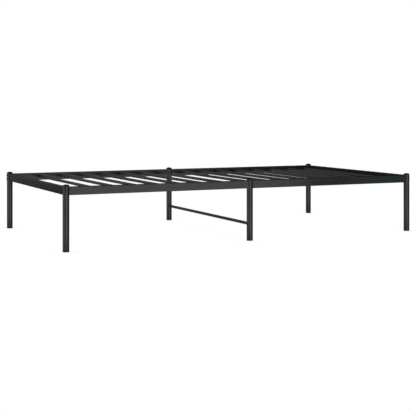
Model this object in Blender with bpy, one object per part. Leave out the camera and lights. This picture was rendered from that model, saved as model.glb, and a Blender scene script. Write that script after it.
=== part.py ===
"""Low metal bed frame for a 100 x 190 cm mattress.

A bolted, flat-pack frame: six round legs, rectangular side and end rails,
sixteen round cross slats plugged into the side rails, and a stretcher that
ties the two middle legs together.  Nothing on it moves.

Frame: metres, +Z up, origin on the floor under the middle of the bed.
+X runs along the bed's length, +Y across its width.
"""
import math

import bmesh
import bpy
from mathutils import Matrix, Vector

# ------------------------------------------------------------ dimensions (m)
LEG_SPAN_X = 1.930        # corner leg centre to corner leg centre, lengthways
LEG_SPAN_Y = 1.038        # leg centre to leg centre, across
HEIGHT = 0.3145           # floor to the top of the domed leg caps

LEG_D = 0.0318            # 1 1/4 inch round tube
LEG_WALL = 0.0012
GAP = 0.0003              # between faces that touch

FOOT_RING_H = 0.0050      # visible part of the plastic foot
FOOT_STEM_H = 0.0180
FOOT_CHAMFER = 0.0012
CAP_DOME_H = 0.0066       # visible dome on top of the tube
CAP_STEM_H = 0.0100
MIDDLE_CAP_STEM_H = 0.0045   # shorter, to clear the joiner bar below it
PLUG_CLEAR = 0.0004       # plastic stem to tube bore, radial

RAIL_H = 0.0400           # rectangular tube 40 x 20, on edge
RAIL_W = 0.0200
RAIL_WALL = 0.0015
RAIL_CORNER = 0.0025
RAIL_TOP = 0.3043

SLAT_D = 0.0156
SLAT_WALL = 0.0010
SLAT_FIRST = 0.0710       # first slat's distance from the middle of the bed
SLAT_PITCH = 0.1200
SLATS_PER_HALF = 8
SLAT_PLUG_IN = 0.0080     # how far a slat end reaches past the rail's inner face

STRETCHER_D = 0.0160
STRETCHER_WALL = 0.0010
STRETCHER_Z = 0.0850

CORNER_BOLT_SPACING = 0.0175
BOLT_SHANK_D = 0.0060
BOLT_HOLE_D = 0.0068
BOLT_HEAD_D = 0.0105
BOLT_HEAD_H = 0.0022
BOLT_REACH = 0.0120       # thread length inside the end plug
HEX_AF = 0.0035

END_PLUG_L = 0.0220       # threaded plug welded inside a rail's corner end
JOINER_REACH = 0.0559     # joiner bar, from the middle leg's axis into each rail
JOINER_BOLT_X = 0.0360    # from the middle leg's axis

LEG_SEG = 32
SLAT_SEG = 16
BOLT_SEG = 12
CORNER_SEG = 2            # facets per rounded rail corner
COPE_SEG = 4              # divisions of a rail's flats at its coped end
DOME_SEG = 4              # rings in a cap's dome

RAIL_Z = RAIL_TOP - RAIL_H / 2.0
SLAT_Z = RAIL_Z           # the slats sit in the middle of the rail's inner wall
LEG_R = LEG_D / 2.0
HX = LEG_SPAN_X / 2.0
HY = LEG_SPAN_Y / 2.0


# ------------------------------------------------------------------ clean up
for existing in list(bpy.data.objects):
    bpy.data.objects.remove(existing, do_unlink=True)

ROOT = bpy.data.objects.new("bed_frame_root", None)
bpy.context.scene.collection.objects.link(ROOT)


# ----------------------------------------------------------------- materials
def make_material(name, colour, roughness, metallic):
    mat = bpy.data.materials.new(name)
    mat.use_nodes = True
    shader = mat.node_tree.nodes["Principled BSDF"]
    shader.inputs["Base Color"].default_value = (*colour, 1.0)
    shader.inputs["Roughness"].default_value = roughness
    shader.inputs["Metallic"].default_value = metallic
    mat.diffuse_color = (*colour, 1.0)
    return mat


POWDER = (0.020, 0.0208, 0.0212)
MATERIALS = {
    "leg_powder": make_material("leg_powder_coat", POWDER, 0.24, 0.0),
    "rail_powder": make_material("rail_powder_coat", POWDER, 0.20, 0.0),
    "slat_powder": make_material("slat_powder_coat", POWDER, 0.28, 0.0),
    "cap_plastic": make_material("cap_plastic", (0.012, 0.012, 0.013), 0.50, 0.0),
    "foot_plastic": make_material("foot_plastic", (0.015, 0.015, 0.016), 0.60, 0.0),
    "bolt_steel": make_material("bolt_black_zinc", (0.020, 0.020, 0.021), 0.35, 0.8),
    "plug_steel": make_material("plug_steel", (0.32, 0.32, 0.33), 0.40, 1.0),
}


# ---------------------------------------------------------------- mesh tools
def finish_mesh(bm, name, smooth_angle=35.0):
    bmesh.ops.remove_doubles(bm, verts=bm.verts, dist=1e-7)
    bmesh.ops.recalc_face_normals(bm, faces=bm.faces)
    mesh = bpy.data.meshes.new(name)
    bm.to_mesh(mesh)
    bm.free()
    mesh.shade_smooth()
    mesh.set_sharp_from_angle(angle=math.radians(smooth_angle))
    return mesh


def add_object(name, mesh, material, location=(0, 0, 0), rotation=(0, 0, 0)):
    ob = bpy.data.objects.new(name, mesh)
    bpy.context.scene.collection.objects.link(ob)
    if not mesh.materials:
        mesh.materials.append(MATERIALS[material])
    ob.location = location
    ob.rotation_euler = rotation
    ob.parent = ROOT
    return ob


def circle_points(radius, seg, phase=0.5):
    return [(radius * math.cos(2 * math.pi * (i + phase) / seg),
             radius * math.sin(2 * math.pi * (i + phase) / seg))
            for i in range(seg)]


def bridge(bm, lower, upper, flip=False):
    n = len(lower)
    for i in range(n):
        j = (i + 1) % n
        quad = (lower[i], lower[j], upper[j], upper[i])
        bm.faces.new(quad[::-1] if flip else quad)


def turned(profile, seg, name, smooth_angle=35.0):
    """A body turned about Z from (radius, z) points.  The list runs from the
    bottom centre, up the outside, to the top centre.  A radius of 0 closes
    the end; a list that closes on itself makes a tube."""
    bm = bmesh.new()
    rings = []
    for radius, z in profile:
        if radius < 1e-9:
            rings.append([bm.verts.new((0.0, 0.0, z))])
        else:
            rings.append([bm.verts.new((x, y, z))
                          for x, y in circle_points(radius, seg)])
    for a, b in zip(rings[:-1], rings[1:]):
        if len(a) == 1 and len(b) == 1:
            continue
        if len(a) == 1:
            for i in range(seg):
                bm.faces.new((a[0], b[(i + 1) % seg], b[i]))
        elif len(b) == 1:
            for i in range(seg):
                bm.faces.new((a[i], a[(i + 1) % seg], b[0]))
        else:
            bridge(bm, a, b)
    if len(rings[0]) > 1:
        bridge(bm, rings[-1], rings[0])
    return finish_mesh(bm, name, smooth_angle)


def tube(outer_d, wall, z0, z1, seg, name):
    ro, ri = outer_d / 2.0, outer_d / 2.0 - wall
    return turned([(ro, z0), (ro, z1), (ri, z1), (ri, z0)], seg, name)


def rounded_section(width, height, corner, flat_divisions):
    """Closed (y, z) outline, counter-clockwise seen from +X.  The flats at the
    top and bottom are divided so that a coped end can follow a round leg."""
    hy, hz = width / 2.0, height / 2.0
    pts = []
    steps = max(CORNER_SEG, 1)
    centres = [(hy - corner, hz - corner, 0.0), (-hy + corner, hz - corner, 90.0),
               (-hy + corner, -hz + corner, 180.0), (hy - corner, -hz + corner, 270.0)]
    for index, (cy, cz, start) in enumerate(centres):
        for k in range(steps + 1):
            a = math.radians(start + 90.0 * k / steps)
            pts.append((cy + corner * math.cos(a), cz + corner * math.sin(a)))
        if index in (0, 2):
            y0 = pts[-1][0]
            y1 = -y0
            z = pts[-1][1]
            for k in range(1, flat_divisions):
                pts.append((y0 + (y1 - y0) * k / flat_divisions, z))
    return pts


def rail_body(x_low_end, x_high_end, name, holes=()):
    """Hollow rectangular tube along X.  Each end is a function of y, so that a
    coped end hugs the leg it meets.  holes are the x positions of round holes
    in the wall on the +Y side."""
    outer = rounded_section(RAIL_W, RAIL_H, RAIL_CORNER, COPE_SEG)
    inner = rounded_section(RAIL_W - 2 * RAIL_WALL, RAIL_H - 2 * RAIL_WALL,
                            RAIL_CORNER - RAIL_WALL, COPE_SEG)
    bm = bmesh.new()
    loops = []
    for outline in (outer, inner):
        low = [bm.verts.new((x_low_end(y), y, z)) for y, z in outline]
        high = [bm.verts.new((x_high_end(y), y, z)) for y, z in outline]
        loops.append((low, high))
    bridge(bm, loops[0][0], loops[0][1])
    bridge(bm, loops[1][0], loops[1][1], flip=True)
    bridge(bm, loops[0][1], loops[1][1])
    bridge(bm, loops[0][0], loops[1][0], flip=True)
    mesh = finish_mesh(bm, name)
    if not holes:
        return mesh
    cutter = bmesh.new()
    for x in holes:
        pts = circle_points(SLAT_D / 2.0 + GAP, SLAT_SEG)
        near = [cutter.verts.new((x + px, RAIL_W / 2.0 - RAIL_WALL - 0.003, SLAT_Z - RAIL_Z + pz))
                for px, pz in pts]
        far = [cutter.verts.new((x + px, RAIL_W / 2.0 + 0.003, SLAT_Z - RAIL_Z + pz))
               for px, pz in pts]
        bridge(cutter, near, far)
        cutter.faces.new(near[::-1])
        cutter.faces.new(far)
    return cut(mesh, cutter, name)


def cut(mesh, cutter_bm, name):
    """Boolean difference of a mesh and a bmesh of cutters, applied."""
    bmesh.ops.recalc_face_normals(cutter_bm, faces=cutter_bm.faces)
    cutter_mesh = bpy.data.meshes.new(name + "_cutter")
    cutter_bm.to_mesh(cutter_mesh)
    cutter_bm.free()
    body = bpy.data.objects.new(name + "_tmp", mesh)
    tool = bpy.data.objects.new(name + "_tool", cutter_mesh)
    scene = bpy.context.scene.collection
    scene.objects.link(body)
    scene.objects.link(tool)
    mod = body.modifiers.new("holes", "BOOLEAN")
    mod.operation = "DIFFERENCE"
    mod.solver = "EXACT"
    mod.object = tool
    graph = bpy.context.evaluated_depsgraph_get()
    result = bpy.data.meshes.new_from_object(body.evaluated_get(graph))
    result.name = name
    bpy.data.objects.remove(body, do_unlink=True)
    bpy.data.objects.remove(tool, do_unlink=True)
    result.shade_smooth()
    result.set_sharp_from_angle(angle=math.radians(35.0))
    return result


def add_cylinder(bm, radius, seg, start, end, phase=0.5):
    """A closed cylinder between two points, for a cutter."""
    start, end = Vector(start), Vector(end)
    axis = (end - start).normalized()
    turn = axis.to_track_quat("Z", "Y").to_matrix()
    rings = []
    for base in (start, end):
        rings.append([bm.verts.new(base + turn @ Vector((x, y, 0.0)))
                      for x, y in circle_points(radius, seg, phase)])
    bridge(bm, rings[0], rings[1])
    bm.faces.new(rings[0][::-1])
    bm.faces.new(rings[1])


# --------------------------------------------------------------------- names
# "left" is the -X end of the bed, "front" the -Y side.
ENDS = (("left", -1), ("right", 1))
SIDES = (("front", -1), ("back", 1))
TUBE_LOW = FOOT_RING_H + GAP
TUBE_HIGH = HEIGHT - CAP_DOME_H - GAP
BOLT_ZS = (("upper", RAIL_Z + CORNER_BOLT_SPACING / 2.0),
           ("lower", RAIL_Z - CORNER_BOLT_SPACING / 2.0))

# --------------------------------------------------------------------- legs
corner_leg_plain = tube(LEG_D, LEG_WALL, TUBE_LOW, TUBE_HIGH, LEG_SEG, "corner_leg_tube")
drill = bmesh.new()
for _, z in BOLT_ZS:
    add_cylinder(drill, BOLT_HOLE_D / 2.0, BOLT_SEG,
                 (-LEG_R - 0.004, 0.0, z), (LEG_R + 0.004, 0.0, z))
corner_leg_mesh = cut(corner_leg_plain, drill, "corner_leg")
# A middle leg has a slot right through it, the size of a rail's bore, for the
# joiner bar.
middle_leg_plain = tube(LEG_D, LEG_WALL, TUBE_LOW, TUBE_HIGH, LEG_SEG, "middle_leg_tube")
slot = bmesh.new()
bmesh.ops.create_cube(slot, size=1.0, matrix=Matrix.Translation((0.0, 0.0, RAIL_Z)) @ Matrix.Diagonal(
    (LEG_D + 0.008, RAIL_W - 2 * RAIL_WALL, RAIL_H - 2 * RAIL_WALL, 1.0)))
middle_leg_mesh = cut(middle_leg_plain, slot, "middle_leg")

# Feet: a ring the size of the tube with a chamfered floor edge, and a stem
# pushed up the bore.
bore_r = LEG_R - LEG_WALL
foot_mesh = turned([
    (0.0, 0.0),
    (LEG_R - FOOT_CHAMFER, 0.0),
    (LEG_R, FOOT_CHAMFER),
    (LEG_R, FOOT_RING_H),
    (bore_r - PLUG_CLEAR, FOOT_RING_H),
    (bore_r - PLUG_CLEAR - 0.0012, FOOT_RING_H + FOOT_STEM_H),
    (0.0, FOOT_RING_H + FOOT_STEM_H)], LEG_SEG, "leg_foot")

# Caps: a low dome over the tube's end, with a stem down the bore.
dome = []
rim = 0.0012
for k in range(DOME_SEG + 1):
    a = math.radians(90.0 * k / DOME_SEG)
    dome.append((LEG_R * math.cos(a) if k < DOME_SEG else 0.0,
                 rim + (CAP_DOME_H - rim) * math.sin(a)))


def domed_cap(stem, name):
    return turned([
        (0.0, -stem),
        (bore_r - PLUG_CLEAR - 0.0010, -stem),
        (bore_r - PLUG_CLEAR, 0.0),
        (LEG_R, 0.0)] + dome, LEG_SEG, name, 50.0)


corner_cap_mesh = domed_cap(CAP_STEM_H, "corner_leg_cap")
middle_cap_mesh = domed_cap(MIDDLE_CAP_STEM_H, "middle_leg_cap")

LEGS = []
for end, sx in ENDS:
    for side, sy in SIDES:
        LEGS.append((f"corner_leg_{side}_{end}", f"{side}_{end}", corner_leg_mesh,
                     corner_cap_mesh, (sx * HX, sy * HY)))
for side, sy in SIDES:
    LEGS.append((f"middle_leg_{side}", f"middle_{side}", middle_leg_mesh,
                 middle_cap_mesh, (0.0, sy * HY)))

for name, place, mesh, cap_mesh, (x, y) in LEGS:
    add_object(name, mesh, "leg_powder", (x, y, 0.0))
    add_object(f"foot_cap_{place}", foot_mesh, "foot_plastic", (x, y, 0.0))
    add_object(f"top_cap_{place}", cap_mesh, "cap_plastic", (x, y, TUBE_HIGH + GAP))

# -------------------------------------------------------------------- rails
def coped(y):
    """Distance from a leg's axis to the rail's end at the height y across."""
    reach = LEG_R + GAP
    return math.sqrt(reach * reach - y * y)


slat_xs = [SLAT_FIRST + SLAT_PITCH * i for i in range(SLATS_PER_HALF)]


def low_end(y):
    return coped(y)


def side_high_end(y):
    return HX - coped(y)


def end_high_end(y):
    return LEG_SPAN_Y - coped(y)


# A side rail half runs from the middle leg (x = 0) to a corner leg (x = HX).
# Its slat holes are on the local +Y side.  One pattern serves two rails, and
# its mirror image the other two.  The wall facing the bed also has the hole
# for the joiner bar's bolt.
def side_rail_mesh(mirrored, name):
    mesh = rail_body(low_end, side_high_end, name, slat_xs)
    drill_bm = bmesh.new()
    add_cylinder(drill_bm, BOLT_HOLE_D / 2.0, BOLT_SEG,
                 (JOINER_BOLT_X, RAIL_W / 2.0 - RAIL_WALL - 0.002, 0.0),
                 (JOINER_BOLT_X, RAIL_W / 2.0 + 0.003, 0.0))
    mesh = cut(mesh, drill_bm, name)
    if mirrored:
        mesh.transform(Matrix.Diagonal((-1.0, 1.0, 1.0, 1.0)))
        mesh.flip_normals()
    return mesh


rail_mesh_right = side_rail_mesh(False, "side_rail_right_hand")
rail_mesh_left = side_rail_mesh(True, "side_rail_left_hand")
# The front rail's bed side is +Y, so it uses the mesh as it is; the back rail
# is the same piece turned half round about Z.
add_object("side_rail_front_right", rail_mesh_right, "rail_powder", (0, -HY, RAIL_Z))
add_object("side_rail_front_left", rail_mesh_left, "rail_powder", (0, -HY, RAIL_Z))
add_object("side_rail_back_left", rail_mesh_right, "rail_powder", (0, HY, RAIL_Z), (0, 0, math.pi))
add_object("side_rail_back_right", rail_mesh_left, "rail_powder", (0, HY, RAIL_Z), (0, 0, math.pi))

end_rail_mesh = rail_body(low_end, end_high_end, "end_rail")
for end, sx in ENDS:
    add_object(f"end_rail_{end}", end_rail_mesh, "rail_powder",
               (sx * HX, -HY, RAIL_Z), (0, 0, math.pi / 2.0))

# -------------------------------------------------------------------- slats
slat_half = HY - RAIL_W / 2.0 + SLAT_PLUG_IN
slat_mesh = tube(SLAT_D, SLAT_WALL, -slat_half, slat_half, SLAT_SEG, "cross_slat")
slat_number = 0
for x in [-v for v in reversed(slat_xs)] + slat_xs:
    slat_number += 1
    add_object(f"cross_slat_{slat_number:02d}", slat_mesh, "slat_powder",
               (x, 0.0, SLAT_Z), (math.pi / 2.0, 0, 0))

# ---------------------------------------------------------------- stretcher
def stretcher_tube():
    """Round tube between the middle legs, its ends coped to the leg tubes."""
    bm = bmesh.new()
    loops = []
    for radius in (STRETCHER_D / 2.0, STRETCHER_D / 2.0 - STRETCHER_WALL):
        pts = circle_points(radius, SLAT_SEG)
        low = [bm.verts.new((px, -HY + coped(px), pz)) for px, pz in pts]
        high = [bm.verts.new((px, HY - coped(px), pz)) for px, pz in pts]
        loops.append((low, high))
    bridge(bm, loops[0][0], loops[0][1])
    bridge(bm, loops[1][0], loops[1][1], flip=True)
    bridge(bm, loops[0][1], loops[1][1])
    bridge(bm, loops[0][0], loops[1][0], flip=True)
    return finish_mesh(bm, "middle_stretcher")


add_object("middle_stretcher", stretcher_tube(), "rail_powder", (0, 0, STRETCHER_Z))


# ---------------------------------------------------------------- fasteners
def button_bolt(length, name):
    """Button-head hex socket bolt.  The head's seat is at z = 0, the shank
    runs down -Z."""
    head_r, shank_r = BOLT_HEAD_D / 2.0, BOLT_SHANK_D / 2.0
    socket_r = HEX_AF / math.sqrt(3.0)
    rings = [(shank_r, -length), (shank_r, 0.0), (head_r, 0.0),
             (head_r, BOLT_HEAD_H * 0.40), (head_r * 0.60, BOLT_HEAD_H)]
    bm = bmesh.new()
    tip = bm.verts.new((0.0, 0.0, -length))
    previous = None
    for radius, z in rings:
        ring = [bm.verts.new((x, y, z)) for x, y in circle_points(radius, BOLT_SEG, 0.0)]
        if previous is None:
            for i in range(BOLT_SEG):
                bm.faces.new((tip, ring[(i + 1) % BOLT_SEG], ring[i]))
        else:
            bridge(bm, previous, ring)
        previous = ring
    # Hexagonal socket: its rim has a corner on every second point of the ring.
    depth = BOLT_HEAD_H * 0.75
    hex_top = []
    for i in range(BOLT_SEG):
        a = 2.0 * math.pi * i / BOLT_SEG
        r = socket_r if i % 2 == 0 else socket_r * math.cos(math.pi / 6.0)
        hex_top.append(bm.verts.new((r * math.cos(a), r * math.sin(a), BOLT_HEAD_H)))
    bridge(bm, previous, hex_top)
    hex_low = [bm.verts.new((v.co.x, v.co.y, BOLT_HEAD_H - depth)) for v in hex_top]
    bridge(bm, hex_top, hex_low)
    bm.faces.new(hex_low)
    return finish_mesh(bm, name, 30.0)


def block_with_holes(x0, x1, cope, holes, name):
    """A solid block inside a rail: full bore section less the gap, from x0 to
    x1 measured from the leg's axis.  Its leg end is coped when cope is set.
    holes are (start, end) points of drilled holes."""
    clear = GAP
    outline = rounded_section(RAIL_W - 2 * RAIL_WALL - 2 * clear,
                              RAIL_H - 2 * RAIL_WALL - 2 * clear, 0.0012, COPE_SEG)
    bm = bmesh.new()
    low = [bm.verts.new(((coped(y) if cope else x0), y, z)) for y, z in outline]
    high = [bm.verts.new((x1, y, z)) for y, z in outline]
    bridge(bm, low, high)
    # Each end is closed by strips between the points of equal y above and
    # below, so that the coped end is a true curved face.
    last = len(outline) - 1
    for ring in (low, high):
        for i in range(last // 2):
            bm.faces.new((ring[i], ring[i + 1], ring[last - i - 1], ring[last - i]))
    mesh = finish_mesh(bm, name)
    drill_bm = bmesh.new()
    for start, end in holes:
        add_cylinder(drill_bm, BOLT_SHANK_D / 2.0 + GAP, BOLT_SEG, start, end, 0.0)
    return cut(mesh, drill_bm, name)


# Corner joint: the bolt's head sits on the leg's outer face, its shank passes
# through both walls of the leg and screws into the end plug.  Local +X points
# from the corner leg to the rail.
head_seat = LEG_R + GAP
corner_bolt_mesh = button_bolt(head_seat + LEG_R + BOLT_REACH, "corner_bolt")
plug_holes = [((LEG_R - 0.006, 0.0, z - RAIL_Z), (LEG_R + END_PLUG_L + 0.004, 0.0, z - RAIL_Z))
              for _, z in BOLT_ZS]
end_plug_mesh = block_with_holes(None, LEG_R + END_PLUG_L, True, plug_holes, "rail_end_plug")

for end, sx in ENDS:
    inward = -sx
    turn_z = 0.0 if inward > 0 else math.pi
    for side, sy in SIDES:
        x, y = sx * HX, sy * HY
        add_object(f"rail_end_plug_{side}_{end}", end_plug_mesh, "plug_steel",
                   (x, y, RAIL_Z), (0, 0, turn_z))
        for level, z in BOLT_ZS:
            # The bolt's +Z (its head) points away from the bed.
            ob = add_object(f"corner_bolt_{side}_{end}_{level}", corner_bolt_mesh, "bolt_steel",
                            (x + sx * head_seat, y, z))
            ob.rotation_euler = (0.0, sx * math.pi / 2.0, 0.0)

# Middle joint: a steel bar passes through the slot in the middle leg and fills
# the end of the rail on either side.  One bolt through each rail's bed-side
# wall holds it.
joiner_holes = [((x, -0.020, 0.0), (x, 0.020, 0.0)) for x in (-JOINER_BOLT_X, JOINER_BOLT_X)]
joiner_mesh = block_with_holes(-JOINER_REACH, JOINER_REACH, False, joiner_holes, "rail_joiner")
joiner_bolt_mesh = button_bolt(GAP + 0.0150, "joiner_bolt")
for side, sy in SIDES:
    add_object(f"rail_joiner_{side}", joiner_mesh, "plug_steel", (0.0, sy * HY, RAIL_Z))
    inner_face = sy * (HY - RAIL_W / 2.0)
    for end, sx in ENDS:
        ob = add_object(f"joiner_bolt_{side}_{end}", joiner_bolt_mesh, "bolt_steel",
                        (sx * JOINER_BOLT_X, inner_face - sy * GAP, RAIL_Z))
        # The head faces the middle of the bed.
        ob.rotation_euler = (sy * math.pi / 2.0, 0.0, 0.0)

bpy.context.view_layer.update()
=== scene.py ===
"""Looks of the low metal bed frame: fine meshes and materials around the CAD frame."""
import math

import bmesh
import bpy
from mathutils import Matrix, Vector


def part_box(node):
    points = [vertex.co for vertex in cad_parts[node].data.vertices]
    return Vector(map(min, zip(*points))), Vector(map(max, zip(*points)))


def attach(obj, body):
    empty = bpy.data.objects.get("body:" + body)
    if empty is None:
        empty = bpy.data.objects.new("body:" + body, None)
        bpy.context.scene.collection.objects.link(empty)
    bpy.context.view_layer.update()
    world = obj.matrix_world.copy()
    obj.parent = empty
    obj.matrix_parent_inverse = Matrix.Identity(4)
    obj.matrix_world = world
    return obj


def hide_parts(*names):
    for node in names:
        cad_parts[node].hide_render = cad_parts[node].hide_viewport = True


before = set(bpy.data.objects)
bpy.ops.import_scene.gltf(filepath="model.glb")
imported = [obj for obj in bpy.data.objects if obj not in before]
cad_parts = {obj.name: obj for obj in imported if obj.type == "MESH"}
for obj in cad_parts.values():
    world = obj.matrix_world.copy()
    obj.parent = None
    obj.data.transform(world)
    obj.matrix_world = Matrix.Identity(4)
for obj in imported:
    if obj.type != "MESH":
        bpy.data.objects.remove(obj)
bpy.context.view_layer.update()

# ---------------------------------------------------------------- dimensions
# The cross-sections of the CAD part, in metres; places come from the nodes.
LEG_R = 0.0159
LEG_WALL = 0.0012
GAP = 0.0003
RAIL_H, RAIL_W, RAIL_WALL, RAIL_CORNER = 0.0400, 0.0200, 0.0015, 0.0025
SLAT_R, SLAT_WALL = 0.0078, 0.0010
STRETCHER_R, STRETCHER_WALL = 0.0080, 0.0010
BOLT_HEAD_R, BOLT_HEAD_H, BOLT_SHANK_R, HEX_AF = 0.00525, 0.0022, 0.0030, 0.0035
BOLT_HOLE_R = 0.0034
LEG_SEG, SLAT_SEG, BOLT_SEG = 72, 40, 48
SIDES = ("front", "back")
ENDS = ("left", "right")


def centre_of(node):
    lo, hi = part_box(node)
    return (Vector(lo) + Vector(hi)) / 2.0


# ----------------------------------------------------------------- materials
def node_material(name):
    mat = bpy.data.materials.new(name)
    mat.use_nodes = True
    tree = mat.node_tree
    return mat, tree, tree.nodes["Principled BSDF"]


def add_noise(tree, coords, scale, detail=4.0, rough=0.55, distortion=0.0):
    noise = tree.nodes.new("ShaderNodeTexNoise")
    noise.inputs["Scale"].default_value = scale
    noise.inputs["Detail"].default_value = detail
    noise.inputs["Roughness"].default_value = rough
    noise.inputs["Distortion"].default_value = distortion
    tree.links.new(coords, noise.inputs["Vector"])
    return noise


def ramp(tree, fac, stops):
    node = tree.nodes.new("ShaderNodeValToRGB")
    element = node.color_ramp.elements
    element[0].position, element[0].color = stops[0][0], (*stops[0][1], 1.0)
    element[1].position, element[1].color = stops[-1][0], (*stops[-1][1], 1.0)
    for position, colour in stops[1:-1]:
        e = element.new(position)
        e.color = (*colour, 1.0)
    tree.links.new(fac, node.inputs["Fac"])
    return node


def map_range(tree, value, low, high, to_low, to_high):
    node = tree.nodes.new("ShaderNodeMapRange")
    node.inputs["From Min"].default_value = low
    node.inputs["From Max"].default_value = high
    node.inputs["To Min"].default_value = to_low
    node.inputs["To Max"].default_value = to_high
    tree.links.new(value, node.inputs["Value"])
    return node


def powder_coat(name, dark, mid, light, rough_low, rough_high, peel=1.0):
    """Satin black powder coat: orange peel about 2 mm across with a finer
    grain in it, a slow drift in gloss, and faint pale specks."""
    mat, tree, shader = node_material(name)
    coords = tree.nodes.new("ShaderNodeTexCoord").outputs["Object"]
    drift = add_noise(tree, coords, 7.0, 3.0, 0.5)
    fleck = add_noise(tree, coords, 1400.0, 2.0, 0.6)
    colour = ramp(tree, drift.outputs["Fac"], [(0.30, dark), (0.52, mid), (0.75, light)])
    specks = ramp(tree, fleck.outputs["Fac"], [(0.66, (0.0, 0.0, 0.0)), (0.80, (0.035, 0.036, 0.038))])
    add = tree.nodes.new("ShaderNodeMix")
    add.data_type = "RGBA"
    add.blend_type = "ADD"
    add.inputs["Factor"].default_value = 1.0
    tree.links.new(colour.outputs["Color"], add.inputs["A"])
    tree.links.new(specks.outputs["Color"], add.inputs["B"])
    tree.links.new(add.outputs["Result"], shader.inputs["Base Color"])
    gloss = add_noise(tree, coords, 38.0, 5.0, 0.6)
    rough = map_range(tree, gloss.outputs["Fac"], 0.3, 0.7, rough_low, rough_high)
    tree.links.new(rough.outputs["Result"], shader.inputs["Roughness"])
    shader.inputs["Metallic"].default_value = 0.0
    shader.inputs["IOR"].default_value = 1.5
    orange = add_noise(tree, coords, 520.0, 2.0, 0.45)
    grain = add_noise(tree, coords, 2600.0, 2.0, 0.5)
    bump_a = tree.nodes.new("ShaderNodeBump")
    bump_a.inputs["Strength"].default_value = 0.12 * peel
    bump_a.inputs["Distance"].default_value = 0.00012
    tree.links.new(orange.outputs["Fac"], bump_a.inputs["Height"])
    bump_b = tree.nodes.new("ShaderNodeBump")
    bump_b.inputs["Strength"].default_value = 0.08 * peel
    bump_b.inputs["Distance"].default_value = 0.00003
    tree.links.new(grain.outputs["Fac"], bump_b.inputs["Height"])
    tree.links.new(bump_a.outputs["Normal"], bump_b.inputs["Normal"])
    tree.links.new(bump_b.outputs["Normal"], shader.inputs["Normal"])
    return mat


def moulded_plastic(name, dark, light, rough_low, rough_high, grain_scale):
    """Black moulded plastic with a fine spark-eroded grain and light scuffs."""
    mat, tree, shader = node_material(name)
    coords = tree.nodes.new("ShaderNodeTexCoord").outputs["Object"]
    tone = add_noise(tree, coords, 60.0, 4.0, 0.6)
    colour = ramp(tree, tone.outputs["Fac"], [(0.35, dark), (0.70, light)])
    tree.links.new(colour.outputs["Color"], shader.inputs["Base Color"])
    scuff = add_noise(tree, coords, 260.0, 5.0, 0.65, 0.4)
    rough = map_range(tree, scuff.outputs["Fac"], 0.3, 0.7, rough_low, rough_high)
    tree.links.new(rough.outputs["Result"], shader.inputs["Roughness"])
    shader.inputs["Metallic"].default_value = 0.0
    shader.inputs["IOR"].default_value = 1.46
    grain = add_noise(tree, coords, grain_scale, 3.0, 0.6)
    bump = tree.nodes.new("ShaderNodeBump")
    bump.inputs["Strength"].default_value = 0.35
    bump.inputs["Distance"].default_value = 0.00006
    tree.links.new(grain.outputs["Fac"], bump.inputs["Height"])
    tree.links.new(bump.outputs["Normal"], shader.inputs["Normal"])
    return mat


def plated_steel(name, dark, light, rough_low, rough_high, metallic, streak):
    """Plated or bare steel with fine tumbling marks."""
    mat, tree, shader = node_material(name)
    coords = tree.nodes.new("ShaderNodeTexCoord").outputs["Object"]
    tone = add_noise(tree, coords, 320.0, 5.0, 0.6)
    colour = ramp(tree, tone.outputs["Fac"], [(0.30, dark), (0.72, light)])
    tree.links.new(colour.outputs["Color"], shader.inputs["Base Color"])
    marks = add_noise(tree, coords, streak, 4.0, 0.6, 0.8)
    rough = map_range(tree, marks.outputs["Fac"], 0.3, 0.7, rough_low, rough_high)
    tree.links.new(rough.outputs["Result"], shader.inputs["Roughness"])
    shader.inputs["Metallic"].default_value = metallic
    bump = tree.nodes.new("ShaderNodeBump")
    bump.inputs["Strength"].default_value = 0.2
    bump.inputs["Distance"].default_value = 0.00003
    tree.links.new(marks.outputs["Fac"], bump.inputs["Height"])
    tree.links.new(bump.outputs["Normal"], shader.inputs["Normal"])
    return mat


LEG_COAT = powder_coat("leg_powder_coat", (0.016, 0.017, 0.0175), (0.020, 0.0208, 0.0212),
                       (0.025, 0.0258, 0.0262), 0.20, 0.27)
RAIL_COAT = powder_coat("rail_powder_coat", (0.016, 0.017, 0.0175), (0.020, 0.0208, 0.0212),
                        (0.025, 0.0258, 0.0262), 0.13, 0.18)
SLAT_COAT = powder_coat("slat_powder_coat", (0.016, 0.017, 0.0175), (0.020, 0.0208, 0.0212),
                        (0.021, 0.0218, 0.0222), 0.22, 0.28, 0.6)
CAP_PLASTIC = moulded_plastic("cap_plastic", (0.010, 0.010, 0.011), (0.022, 0.022, 0.024),
                              0.42, 0.56, 1900.0)
FOOT_PLASTIC = moulded_plastic("foot_plastic", (0.010, 0.010, 0.011), (0.024, 0.024, 0.025),
                               0.50, 0.66, 1500.0)
BOLT_STEEL = plated_steel("bolt_black_zinc", (0.030, 0.030, 0.032), (0.070, 0.070, 0.074),
                          0.30, 0.44, 0.85, 900.0)
PLUG_STEEL = plated_steel("plug_steel", (0.24, 0.24, 0.25), (0.38, 0.38, 0.39),
                          0.34, 0.52, 1.0, 420.0)
SLOT_OF = {"leg_powder_coat": LEG_COAT, "rail_powder_coat": RAIL_COAT,
           "slat_powder_coat": SLAT_COAT, "cap_plastic": CAP_PLASTIC,
           "foot_plastic": FOOT_PLASTIC, "bolt_black_steel": BOLT_STEEL,
           "plug_steel": PLUG_STEEL}


# ---------------------------------------------------------------- mesh tools
def make_piece(bm, name, slot, nodes=(), smooth_angle=32.0):
    bmesh.ops.recalc_face_normals(bm, faces=bm.faces)
    mesh = bpy.data.meshes.new(name)
    bm.to_mesh(mesh)
    bm.free()
    mesh.shade_smooth()
    mesh.set_sharp_from_angle(angle=math.radians(smooth_angle))
    mesh.materials.append(SLOT_OF[slot])
    ob = bpy.data.objects.new(name, mesh)
    bpy.context.scene.collection.objects.link(ob)
    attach(ob, "root")
    if nodes:
        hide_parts(*nodes)
    return ob


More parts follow.
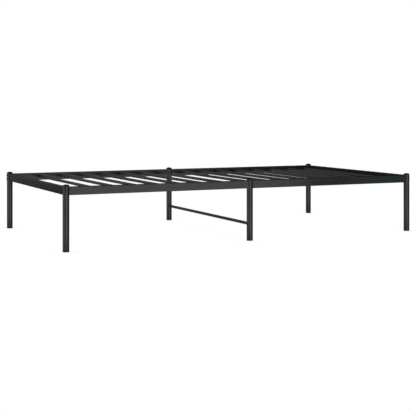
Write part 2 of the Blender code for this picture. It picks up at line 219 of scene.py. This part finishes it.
def subtract(ob, cutter_bm):
    """Cuts the closed shapes in cutter_bm out of a piece, and applies it."""
    bmesh.ops.recalc_face_normals(cutter_bm, faces=cutter_bm.faces)
    cutter_mesh = bpy.data.meshes.new(ob.name + "_holes")
    cutter_bm.to_mesh(cutter_mesh)
    cutter_bm.free()
    cutter = bpy.data.objects.new(ob.name + "_holes", cutter_mesh)
    bpy.context.scene.collection.objects.link(cutter)
    mod = ob.modifiers.new("holes", "BOOLEAN")
    mod.operation = "DIFFERENCE"
    mod.solver = "EXACT"
    mod.object = cutter
    graph = bpy.context.evaluated_depsgraph_get()
    result = bpy.data.meshes.new_from_object(ob.evaluated_get(graph))
    ob.modifiers.remove(mod)
    ob.data = result
    result.shade_smooth()
    result.set_sharp_from_angle(angle=math.radians(32.0))
    bpy.data.objects.remove(cutter, do_unlink=True)


def add_drill(bm, radius, seg, start, end):
    """A closed cylinder between two points, for a cutter."""
    start, end = Vector(start), Vector(end)
    turn = (end - start).to_track_quat("Z", "Y").to_matrix()
    rings = []
    for base in (start, end):
        rings.append([bm.verts.new(base + turn @ Vector((radius * math.cos(2 * math.pi * (i + 0.5) / seg),
                                                         radius * math.sin(2 * math.pi * (i + 0.5) / seg), 0.0)))
                      for i in range(seg)])
    bridge(bm, rings[0], rings[1])
    bm.faces.new(rings[0][::-1])
    bm.faces.new(rings[1])


def bridge(bm, a, b):
    n = len(a)
    for i in range(n):
        j = (i + 1) % n
        bm.faces.new((a[i], a[j], b[j], b[i]))


def fan(bm, centre, ring):
    n = len(ring)
    for i in range(n):
        bm.faces.new((centre, ring[i], ring[(i + 1) % n]))


def arc(cx, cz, r, a0, a1, steps):
    return [(cx + r * math.cos(math.radians(a0 + (a1 - a0) * k / steps)),
             cz + r * math.sin(math.radians(a0 + (a1 - a0) * k / steps)))
            for k in range(steps + 1)]


def turned(bm, profile, seg, place, axis="Z", closed=False):
    """Turns (radius, height) points about an axis through place."""
    rings = []
    for radius, h in profile:
        ring = []
        count = 1 if radius < 1e-9 else seg
        for i in range(count):
            a = 2.0 * math.pi * (i + 0.5) / seg
            u, v = radius * math.cos(a), radius * math.sin(a)
            if axis == "Z":
                p = Vector((u, v, h))
            elif axis == "Y":
                p = Vector((u, h, v))
            else:
                p = Vector((h, u, v))
            ring.append(bm.verts.new(Vector(place) + p))
        rings.append(ring)
    pairs = list(zip(rings[:-1], rings[1:]))
    if closed:
        pairs.append((rings[-1], rings[0]))
    for a, b in pairs:
        if len(a) == 1:
            fan(bm, a[0], b)
        elif len(b) == 1:
            fan(bm, b[0], a)
        else:
            bridge(bm, a, b)


def coped(y, extra=GAP):
    reach = LEG_R + extra
    return math.sqrt(max(reach * reach - y * y, 0.0))


def tube_profile(ro, ri, z0, z1, edge):
    """Tube wall outline with rounded rims, closed on itself."""
    return (arc(ro - edge, z0 + edge, edge, -90, 0, 3) + arc(ro - edge, z1 - edge, edge, 0, 90, 3)
            + arc(ri + edge, z1 - edge, edge, 90, 180, 3) + arc(ri + edge, z0 + edge, edge, 180, 270, 3))


def section(width, height, corner, steps, flats):
    """Rounded outline in (across, up), counter-clockwise, starting at the
    upper end of the +across side."""
    hy, hz = width / 2.0, height / 2.0
    pts = []
    for index, (cy, cz, start) in enumerate(((hy - corner, hz - corner, 0), (-hy + corner, hz - corner, 90),
                                             (-hy + corner, -hz + corner, 180), (hy - corner, -hz + corner, 270))):
        pts += arc(cy, cz, corner, start, start + 90, steps)
        if index in (0, 2):
            y0, z = pts[-1]
            pts += [(y0 - 2.0 * y0 * k / flats, z) for k in range(1, flats)]
    return pts


# --------------------------------------------------------------------- pieces
LEG_NODES = [(f"corner_leg_{s}_{e}", f"{s}_{e}", e) for e in ENDS for s in SIDES]
LEG_NODES += [(f"middle_leg_{s}", f"middle_{s}", None) for s in SIDES]

rail_z = centre_of("side_rail_front_left").z

for node, place, end in LEG_NODES:
    lo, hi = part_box(node)
    at = centre_of(node)
    # Leg tube: rounded rims top and bottom.
    bm = bmesh.new()
    turned(bm, tube_profile(LEG_R, LEG_R - LEG_WALL, lo[2], hi[2], 0.00035), LEG_SEG,
           (at.x, at.y, 0.0), closed=True)
    leg = make_piece(bm, f"leg_tube_{place}", "leg_powder_coat", [node])
    cutter_bm = bmesh.new()
    if end:
        # Clear holes for the two corner bolts.
        for level in ("upper", "lower"):
            z = centre_of(f"corner_bolt_{place}_{level}").z
            add_drill(cutter_bm, BOLT_HOLE_R, 32, (at.x - LEG_R - 0.004, at.y, z),
                      (at.x + LEG_R + 0.004, at.y, z))
    else:
        # A slot for the joiner bar, the size of the rails' bore.
        bmesh.ops.create_cube(cutter_bm, size=1.0, matrix=Matrix.Translation(
            (at.x, at.y, rail_z)) @ Matrix.Diagonal(
            (2 * LEG_R + 0.008, RAIL_W - 2 * RAIL_WALL, RAIL_H - 2 * RAIL_WALL, 1.0)))
    subtract(leg, cutter_bm)
    # Domed cap: a thin rim, a shallow groove, then an elliptical dome with a
    # small moulding dimple at its crown, and the stem inside the tube.
    lo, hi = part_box(f"top_cap_{place}")
    seat = hi[2] - 0.0066
    stem_r = LEG_R - LEG_WALL - 0.0004
    rise = hi[2] - seat
    profile = [(0.0, lo[2]), (stem_r - 0.0016, lo[2]), (stem_r - 0.0010, lo[2] + 0.0006),
               (stem_r, seat), (LEG_R - 0.0003, seat), (LEG_R, seat + 0.0003),
               (LEG_R, seat + 0.0011), (LEG_R - 0.0001, seat + 0.0013)]
    steps = 14
    base = 0.0013
    for k in range(1, steps + 1):
        a = math.radians(90.0 * k / steps)
        r = (LEG_R - 0.0001) * math.cos(a)
        if r < 0.0022:
            break
        profile.append((r, seat + base + (rise - base) * math.sin(a)))
    profile += [(0.0019, hi[2] - 0.00002), (0.0014, hi[2] - 0.00025), (0.0, hi[2] - 0.00030)]
    bm = bmesh.new()
    turned(bm, profile, LEG_SEG, (at.x, at.y, 0.0))
    make_piece(bm, f"domed_cap_{place}", "cap_plastic", [f"top_cap_{place}"])
    # Foot: rounded floor edge, a flat underside, and the stem.
    lo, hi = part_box(f"foot_cap_{place}")
    ring_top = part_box(node)[0][2] - GAP
    profile = [(0.0, 0.0), (0.0060, 0.0), (LEG_R - 0.0012, 0.0)]
    profile += arc(LEG_R - 0.0012, 0.0012, 0.0012, -75, 0, 5)
    profile += [(LEG_R, ring_top - 0.0003), (LEG_R - 0.0003, ring_top), (stem_r, ring_top),
                (stem_r - 0.0012, hi[2] - 0.0008), (stem_r - 0.0018, hi[2]), (0.0, hi[2])]
    bm = bmesh.new()
    turned(bm, profile, LEG_SEG, (at.x, at.y, 0.0))
    make_piece(bm, f"foot_{place}", "foot_plastic", [f"foot_cap_{place}"])


def rail_piece(name, node, along, holes_side=0, hole_xs=()):
    """Rectangular tube with coped ends between two legs.  along is "X" or
    "Y".  holes_side is the sign of the wall with slat holes."""
    at = centre_of(node)
    lo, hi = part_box(node)
    k = 0 if along == "X" else 1
    # The legs' axes lie one coped length beyond the tips of the rail's flanks.
    edge = coped(RAIL_W / 2.0)
    a0, a1 = lo[k] - edge, hi[k] + edge
    outer = section(RAIL_W, RAIL_H, RAIL_CORNER, 6, 12)
    inner = section(RAIL_W - 2 * RAIL_WALL, RAIL_H - 2 * RAIL_WALL, RAIL_CORNER - RAIL_WALL, 6, 12)
    bm = bmesh.new()

    def put(s, t, z):
        if along == "X":
            return bm.verts.new((s, at.y + t, at.z + z))
        return bm.verts.new((at.x + t, s, at.z + z))

    loops = []
    for outline in (outer, inner):
        rows = [[put(a0 + coped(t), t, z) for t, z in outline],
                [put(a1 - coped(t), t, z) for t, z in outline]]
        loops.append(rows)
    bridge(bm, loops[0][0], loops[0][1])
    bridge(bm, loops[1][1], loops[1][0])
    bridge(bm, loops[0][1], loops[1][1])
    bridge(bm, loops[1][0], loops[0][0])
    ob = make_piece(bm, name, "rail_powder_coat", [node])
    if hole_xs:
        cutter_bm = bmesh.new()
        face = at.y + holes_side * RAIL_W / 2.0
        for x, z, r in hole_xs:
            add_drill(cutter_bm, r, SLAT_SEG, (x, face - holes_side * (RAIL_WALL + 0.002), z),
                      (x, face + holes_side * 0.002, z))
        subtract(ob, cutter_bm)
    return ob


slat_nodes = [f"cross_slat_{i:02d}" for i in range(1, 17)]
slat_places = {n: centre_of(n) for n in slat_nodes}

for s in SIDES:
    for e in ENDS:
        node = f"side_rail_{s}_{e}"
        sign = 1 if s == "front" else -1
        left = e == "left"
        holes = [(p.x, p.z, SLAT_R + GAP) for p in slat_places.values() if (p.x < 0) == left]
        bolt = centre_of(f"joiner_bolt_{s}_{e}")
        holes.append((bolt.x, bolt.z, BOLT_HOLE_R))
        rail_piece(f"side_rail_tube_{s}_{e}", node, "X", sign, holes)
for e in ENDS:
    rail_piece(f"end_rail_tube_{e}", f"end_rail_{e}", "Y")

for node, at in slat_places.items():
    lo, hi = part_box(node)
    bm = bmesh.new()
    profile = tube_profile(SLAT_R, SLAT_R - SLAT_WALL, lo[1], hi[1], 0.0003)
    turned(bm, profile, SLAT_SEG, (at.x, 0.0, at.z), axis="Y", closed=True)
    make_piece(bm, node.replace("cross_slat", "slat_tube"), "slat_powder_coat", [node])

# Stretcher: round tube whose ends follow the middle legs.
lo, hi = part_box("middle_stretcher")
at = centre_of("middle_stretcher")
reach = coped(0.0) - coped(STRETCHER_R)
y_axis0 = centre_of("middle_leg_front").y
y_axis1 = centre_of("middle_leg_back").y
bm = bmesh.new()
rows = []
for radius in (STRETCHER_R, STRETCHER_R - STRETCHER_WALL):
    ends = []
    for base, sign in ((y_axis0, 1), (y_axis1, -1)):
        ring = []
        for i in range(SLAT_SEG):
            a = 2 * math.pi * (i + 0.5) / SLAT_SEG
            u, v = radius * math.cos(a), radius * math.sin(a)
            ring.append(bm.verts.new((at.x + u, base + sign * coped(u), at.z + v)))
        ends.append(ring)
    rows.append(ends)
bridge(bm, rows[0][0], rows[0][1])
bridge(bm, rows[1][1], rows[1][0])
bridge(bm, rows[0][1], rows[1][1])
bridge(bm, rows[1][0], rows[0][0])
make_piece(bm, "stretcher_tube", "rail_powder_coat", ["middle_stretcher"])


# --------------------------------------------------------------- weld beads
def bead(name, path, normals, radius, pitch, slot="rail_powder_coat"):
    """A weld bead along a closed path, rippled like stacked coins.  normals
    point out of the corner that the bead fills."""
    lengths = [0.0]
    for a, b in zip(path, path[1:] + path[:1]):
        lengths.append(lengths[-1] + (b - a).length)
    total = lengths[-1]
    count = max(int(total / pitch), 8)
    seg = 10
    bm = bmesh.new()
    rings = []
    n = len(path)
    for i in range(n):
        tangent = (path[(i + 1) % n] - path[i - 1]).normalized()
        out = normals[i]
        out = (out - tangent * out.dot(tangent)).normalized()
        side = tangent.cross(out)
        phase = (lengths[i] / total * count) % 1.0
        wobble = 0.06 * math.sin(lengths[i] / total * 2 * math.pi * 5.0)
        r = radius * (0.90 + 0.16 * (1.0 - (2.0 * phase - 1.0) ** 2) + wobble)
        ring = []
        for k in range(seg):
            a = 2 * math.pi * k / seg
            ring.append(bm.verts.new(path[i] + out * (r * math.cos(a)) + side * (r * math.sin(a))))
        rings.append(ring)
    for i in range(n):
        bridge(bm, rings[i], rings[(i + 1) % n])
    return make_piece(bm, name, slot, smooth_angle=60.0)


def loop_path(outline, leg_at, toward, centre_z, along):
    """Where a section meets a leg: points on the leg's wall and the corner's
    outward direction."""
    fine = []
    n = len(outline)
    for i in range(n):
        (t0, z0), (t1, z1) = outline[i], outline[(i + 1) % n]
        steps = max(int(math.hypot(t1 - t0, z1 - z0) / 0.0006), 1)
        fine += [(t0 + (t1 - t0) * k / steps, z0 + (z1 - z0) * k / steps) for k in range(steps)]
    path, normals = [], []
    m = len(fine)
    for i, (t, z) in enumerate(fine):
        (ta, za), (tb, zb) = fine[i - 1], fine[(i + 1) % m]
        edge = Vector((tb - ta, zb - za)).normalized()
        out = Vector((edge.y, -edge.x))
        s = coped(t, 0.0002)
        back = Vector((s, t)).normalized()
        if along == "Y":
            path.append(Vector((leg_at.x + t, leg_at.y + toward * s, centre_z + z)))
            normals.append(Vector((out.x, toward * 0.8, out.y)))
        else:
            path.append(Vector((leg_at.x + toward * s, leg_at.y + t, centre_z + z)))
            normals.append(Vector((toward * 0.8, out.x, out.y)))
    return path, normals


rail_outline = section(RAIL_W, RAIL_H, RAIL_CORNER, 4, 12)
for e in ENDS:
    for s in SIDES:
        leg = centre_of(f"corner_leg_{s}_{e}")
        toward = 1 if s == "front" else -1
        path, normals = loop_path(rail_outline, leg, toward, rail_z, "Y")
        bead(f"weld_end_rail_{s}_{e}", path, normals, 0.0016, 0.0021)
round_outline = [(STRETCHER_R * math.cos(2 * math.pi * i / 36), STRETCHER_R * math.sin(2 * math.pi * i / 36))
                 for i in range(36)]
for s in SIDES:
    leg = centre_of(f"middle_leg_{s}")
    toward = 1 if s == "front" else -1
    path, normals = loop_path(round_outline, leg, toward, centre_of("middle_stretcher").z, "Y")
    bead(f"weld_stretcher_{s}", path, normals, 0.0014, 0.0019)


# -------------------------------------------------------------------- bolts
def bolt_piece(name, node, direction):
    """Button-head bolt: direction is the unit vector its head faces."""
    lo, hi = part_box(node)
    at = centre_of(node)
    axis = max(range(3), key=lambda i: abs(direction[i]))
    sign = 1 if direction[axis] > 0 else -1
    top = hi[axis] if sign > 0 else lo[axis]
    length = (hi[axis] - lo[axis]) - BOLT_HEAD_H
    w = Vector(direction)
    u = Vector((0.0, 0.0, 1.0))
    v = w.cross(u)
    origin = at.copy()
    origin[axis] = top - sign * BOLT_HEAD_H          # the head's seat
    bm = bmesh.new()

    def ring(radius, h, hexed=0.0):
        out = []
        for i in range(BOLT_SEG):
            a = 2 * math.pi * i / BOLT_SEG
            r = radius
            if hexed:
                flat = (a + math.pi / 6.0) % (math.pi / 3.0) - math.pi / 6.0
                r = (HEX_AF / 2.0) / math.cos(flat) * hexed
            out.append(bm.verts.new(origin + w * h + u * (r * math.cos(a)) + v * (r * math.sin(a))))
        return out

    rings = [ring(BOLT_SHANK_R - 0.0006, -length), ring(BOLT_SHANK_R, -length + 0.0006),
             ring(BOLT_SHANK_R, 0.0), ring(BOLT_HEAD_R - 0.0002, 0.0), ring(BOLT_HEAD_R, 0.0002)]
    base = 0.0005
    for k in range(0, 9):
        a = math.radians(90.0 * k / 8.0)
        r = BOLT_HEAD_R * (0.50 + 0.50 * math.cos(a))
        rings.append(ring(r, base + (BOLT_HEAD_H - base) * math.sin(a)))
    rings.append(ring(0, BOLT_HEAD_H, hexed=1.12))
    rings.append(ring(0, BOLT_HEAD_H - 0.00022, hexed=1.0))
    rings.append(ring(0, BOLT_HEAD_H - 0.0015, hexed=1.0))
    for a, b in zip(rings[:-1], rings[1:]):
        bridge(bm, a, b)
    tip = bm.verts.new(origin + w * -length)
    fan(bm, tip, rings[0])
    pit = bm.verts.new(origin + w * (BOLT_HEAD_H - 0.00185))
    fan(bm, pit, rings[-1])
    make_piece(bm, name, "bolt_black_steel", [node], smooth_angle=28.0)


for s in SIDES:
    for e in ENDS:
        out = -1.0 if e == "left" else 1.0
        for level in ("upper", "lower"):
            bolt_piece(f"bolt_corner_{s}_{e}_{level}", f"corner_bolt_{s}_{e}_{level}", (out, 0.0, 0.0))
        inward = 1.0 if s == "front" else -1.0
        bolt_piece(f"bolt_joiner_{s}_{e}", f"joiner_bolt_{s}_{e}", (0.0, inward, 0.0))

# The end plugs and joiner bars stay the CAD's own solids, with their own finish.
for node in ([f"rail_end_plug_{s}_{e}" for s in SIDES for e in ENDS]
             + [f"rail_joiner_{s}" for s in SIDES]):
    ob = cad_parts[node]
    ob.data.materials.clear()
    ob.data.materials.append(PLUG_STEEL)


# ------------------------------------------------------------------- staging
def soft_box(name, place, target, width, height, strength, colour=(1.0, 1.0, 1.0)):
    light = bpy.data.lights.new(name, "AREA")
    light.shape = "RECTANGLE"
    light.size, light.size_y = width, height
    # A Lambert emitter of this power has the radiance "strength".
    light.energy = strength * math.pi * width * height
    light.color = colour
    ob = bpy.data.objects.new(name, light)
    bpy.context.scene.collection.objects.link(ob)
    ob.location = place
    aim = Vector(target) - Vector(place)
    ob.rotation_euler = aim.to_track_quat("-Z", "Y").to_euler()
    ob.visible_camera = False
    return ob


soft_box("front_softbox", (0.35, -6.8, 0.2), (0.35, 0.0, 0.2), 7.3, 5.0, 1.22, (1.0, 0.985, 0.97))
soft_box("front_streak", (-1.35, -6.75, 0.2), (-1.35, 0.0, 0.2), 3.4, 5.0, 0.55)
soft_box("cool_card", (5.17, -6.8, 0.2), (5.17, 0.0, 0.2), 1.34, 5.0, 0.43, (0.60, 0.87, 1.0))
soft_box("front_left_card", (-6.3, -4.6, 0.2), (-3.0, -3.0, 0.2), 4.4, 5.0, 0.36)
soft_box("left_softbox", (-6.0, 0.6, 0.9), (0.0, 0.6, 0.2), 5.4, 5.2, 1.30)
soft_box("back_left_card", (-3.2, 11.9, 0.0), (-3.2, 0.0, 0.0), 4.0, 2.0, 0.08)
soft_box("back_far_left_softbox", (-8.8, 12.0, 4.4), (0.0, 0.0, 0.2), 4.2, 6.2, 0.70)
soft_box("back_left_softbox", (-3.9, 12.0, 4.3), (-1.0, 0.0, 0.2), 5.6, 6.4, 0.30)
soft_box("back_softbox", (2.8, 12.0, 5.4), (0.5, 0.0, 0.2), 7.4, 5.4, 0.14)
soft_box("left_back_softbox", (-7.5, 7.5, 4.8), (0.0, 0.0, 0.2), 5.0, 4.4, 0.40)
soft_box("right_softbox", (6.5, 1.5, 0.9), (0.0, 1.5, 0.2), 4.2, 3.2, 0.36)
soft_box("front_right_softbox", (7.0, -7.0, 3.6), (0.0, 0.0, 0.2), 5.0, 3.0, 0.50)
# Light that a pale floor would send back up.
soft_box("floor_bounce", (0.0, 0.0, -1.0), (0.0, 0.0, 0.2), 13.0, 12.0, 0.24)

world = bpy.data.worlds.new("studio")
bpy.context.scene.world = world
world.use_nodes = True
tree = world.node_tree
tree.nodes.clear()
out_node = tree.nodes.new("ShaderNodeOutputWorld")
pale = tree.nodes.new("ShaderNodeBackground")
pale.inputs["Color"].default_value = (1.0, 1.0, 1.0, 1.0)
pale.inputs["Strength"].default_value = 1.0
dim = tree.nodes.new("ShaderNodeBackground")
dim.inputs["Color"].default_value = (1.0, 1.0, 1.0, 1.0)
dim.inputs["Strength"].default_value = 0.02
mix = tree.nodes.new("ShaderNodeMixShader")
path_node = tree.nodes.new("ShaderNodeLightPath")
tree.links.new(path_node.outputs["Is Camera Ray"], mix.inputs["Fac"])
tree.links.new(dim.outputs["Background"], mix.inputs[1])
tree.links.new(pale.outputs["Background"], mix.inputs[2])
tree.links.new(mix.outputs["Shader"], out_node.inputs["Surface"])

# Floor: pale, and darker only in a faint contact shadow.
bm = bmesh.new()
bmesh.ops.create_grid(bm, x_segments=1, y_segments=1, size=30.0)
floor_mesh = bpy.data.meshes.new("floor")
bm.to_mesh(floor_mesh)
bm.free()
floor = bpy.data.objects.new("floor", floor_mesh)
bpy.context.scene.collection.objects.link(floor)
floor.location = (0.0, 0.0, -0.0004)
floor_mat = bpy.data.materials.new("pale_floor")
floor_mat.use_nodes = True
tree = floor_mat.node_tree
tree.nodes.clear()
out_node = tree.nodes.new("ShaderNodeOutputMaterial")
glow = tree.nodes.new("ShaderNodeEmission")
contact = tree.nodes.new("ShaderNodeAmbientOcclusion")
contact.inputs["Distance"].default_value = 0.10
contact.samples = 8
shade = tree.nodes.new("ShaderNodeMapRange")
shade.inputs["From Min"].default_value = 0.0
shade.inputs["From Max"].default_value = 1.0
shade.inputs["To Min"].default_value = 0.80
shade.inputs["To Max"].default_value = 1.0
tree.links.new(contact.outputs["AO"], shade.inputs["Value"])
tree.links.new(shade.outputs["Result"], glow.inputs["Strength"])
tree.links.new(glow.outputs["Emission"], out_node.inputs["Surface"])
floor_mesh.materials.append(floor_mat)
floor.visible_diffuse = False
floor.visible_glossy = False
floor.visible_transmission = False
floor.visible_shadow = False

bpy.context.scene.view_settings.view_transform = "Standard"

# -------------------------------------------------------------------- camera
cam = bpy.data.cameras.new("camera")
cam.sensor_width = 36.0
cam.lens = 88.43
cam.shift_x = 0.0048
cam.shift_y = -0.2424
cam.clip_end = 100.0
cam_ob = bpy.data.objects.new("camera", cam)
bpy.context.scene.collection.objects.link(cam_ob)
cam_ob.location = (-2.4001, -5.1009, 0.6742)
cam_ob.rotation_euler = (math.radians(90.0), 0.0, -0.43973571)
bpy.context.scene.camera = cam_ob

bpy.context.view_layer.update()
